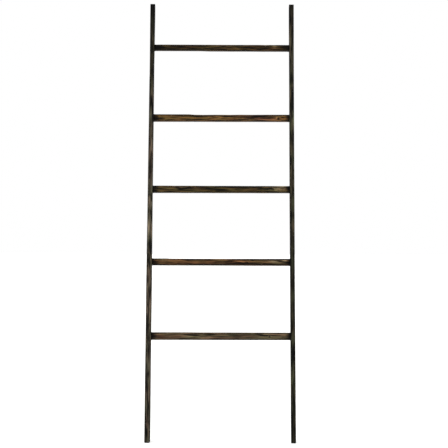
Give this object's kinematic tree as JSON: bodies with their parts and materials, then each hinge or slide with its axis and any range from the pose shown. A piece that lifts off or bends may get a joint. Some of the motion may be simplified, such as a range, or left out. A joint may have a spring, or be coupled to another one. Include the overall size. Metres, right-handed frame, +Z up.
{
  "type": "leaning ladder quilt rack",
  "caption": "Leaning ladder rack of dark stained wood: straight rails with level-cut feet, joined by rungs that folded quilts, blankets or towels hang over.",
  "frame": {"origin": "on the floor, under the middle of the bounding box, with the rack leaning back as in use", "axes": "+Z up, +Y from the room towards the wall that the rack leans on, +X from the left rail to the right rail seen from the front"},
  "size_m": [0.601, 0.409, 1.7885],
  "materials": {
    "rail_wood": "dark grey-brown wiped stain, matt, worn on the arrises",
    "rung_wood": "dark walnut stain, satin, open coarse grain",
    "plug_wood": "stained end grain, matt",
    "screw_steel": "zinc-plated wood screw",
    "foot_rubber": "matt black",
    "wall_felt": "dense dark felt"
  },
  "bodies": {
    "root": {"left_rail": "rail_wood", "right_rail": "rail_wood", "rung_1": "rung_wood", "rung_2": "rung_wood", "rung_3": "rung_wood", "rung_4": "rung_wood", "rung_5": "rung_wood", "left_screw_1": "screw_steel", "left_screw_2": "screw_steel", "left_screw_3": "screw_steel", "left_screw_4": "screw_steel", "left_screw_5": "screw_steel", "left_plug_1": "plug_wood", "left_plug_2": "plug_wood", "left_plug_3": "plug_wood", "left_plug_4": "plug_wood", "left_plug_5": "plug_wood", "right_screw_1": "screw_steel", "right_screw_2": "screw_steel", "right_screw_3": "screw_steel", "right_screw_4": "screw_steel", "right_screw_5": "screw_steel", "right_plug_1": "plug_wood", "right_plug_2": "plug_wood", "right_plug_3": "plug_wood", "right_plug_4": "plug_wood", "right_plug_5": "plug_wood", "left_foot_pad": "foot_rubber", "left_wall_pad": "wall_felt", "right_foot_pad": "foot_rubber", "right_wall_pad": "wall_felt"}
  },
  "joints": []
}
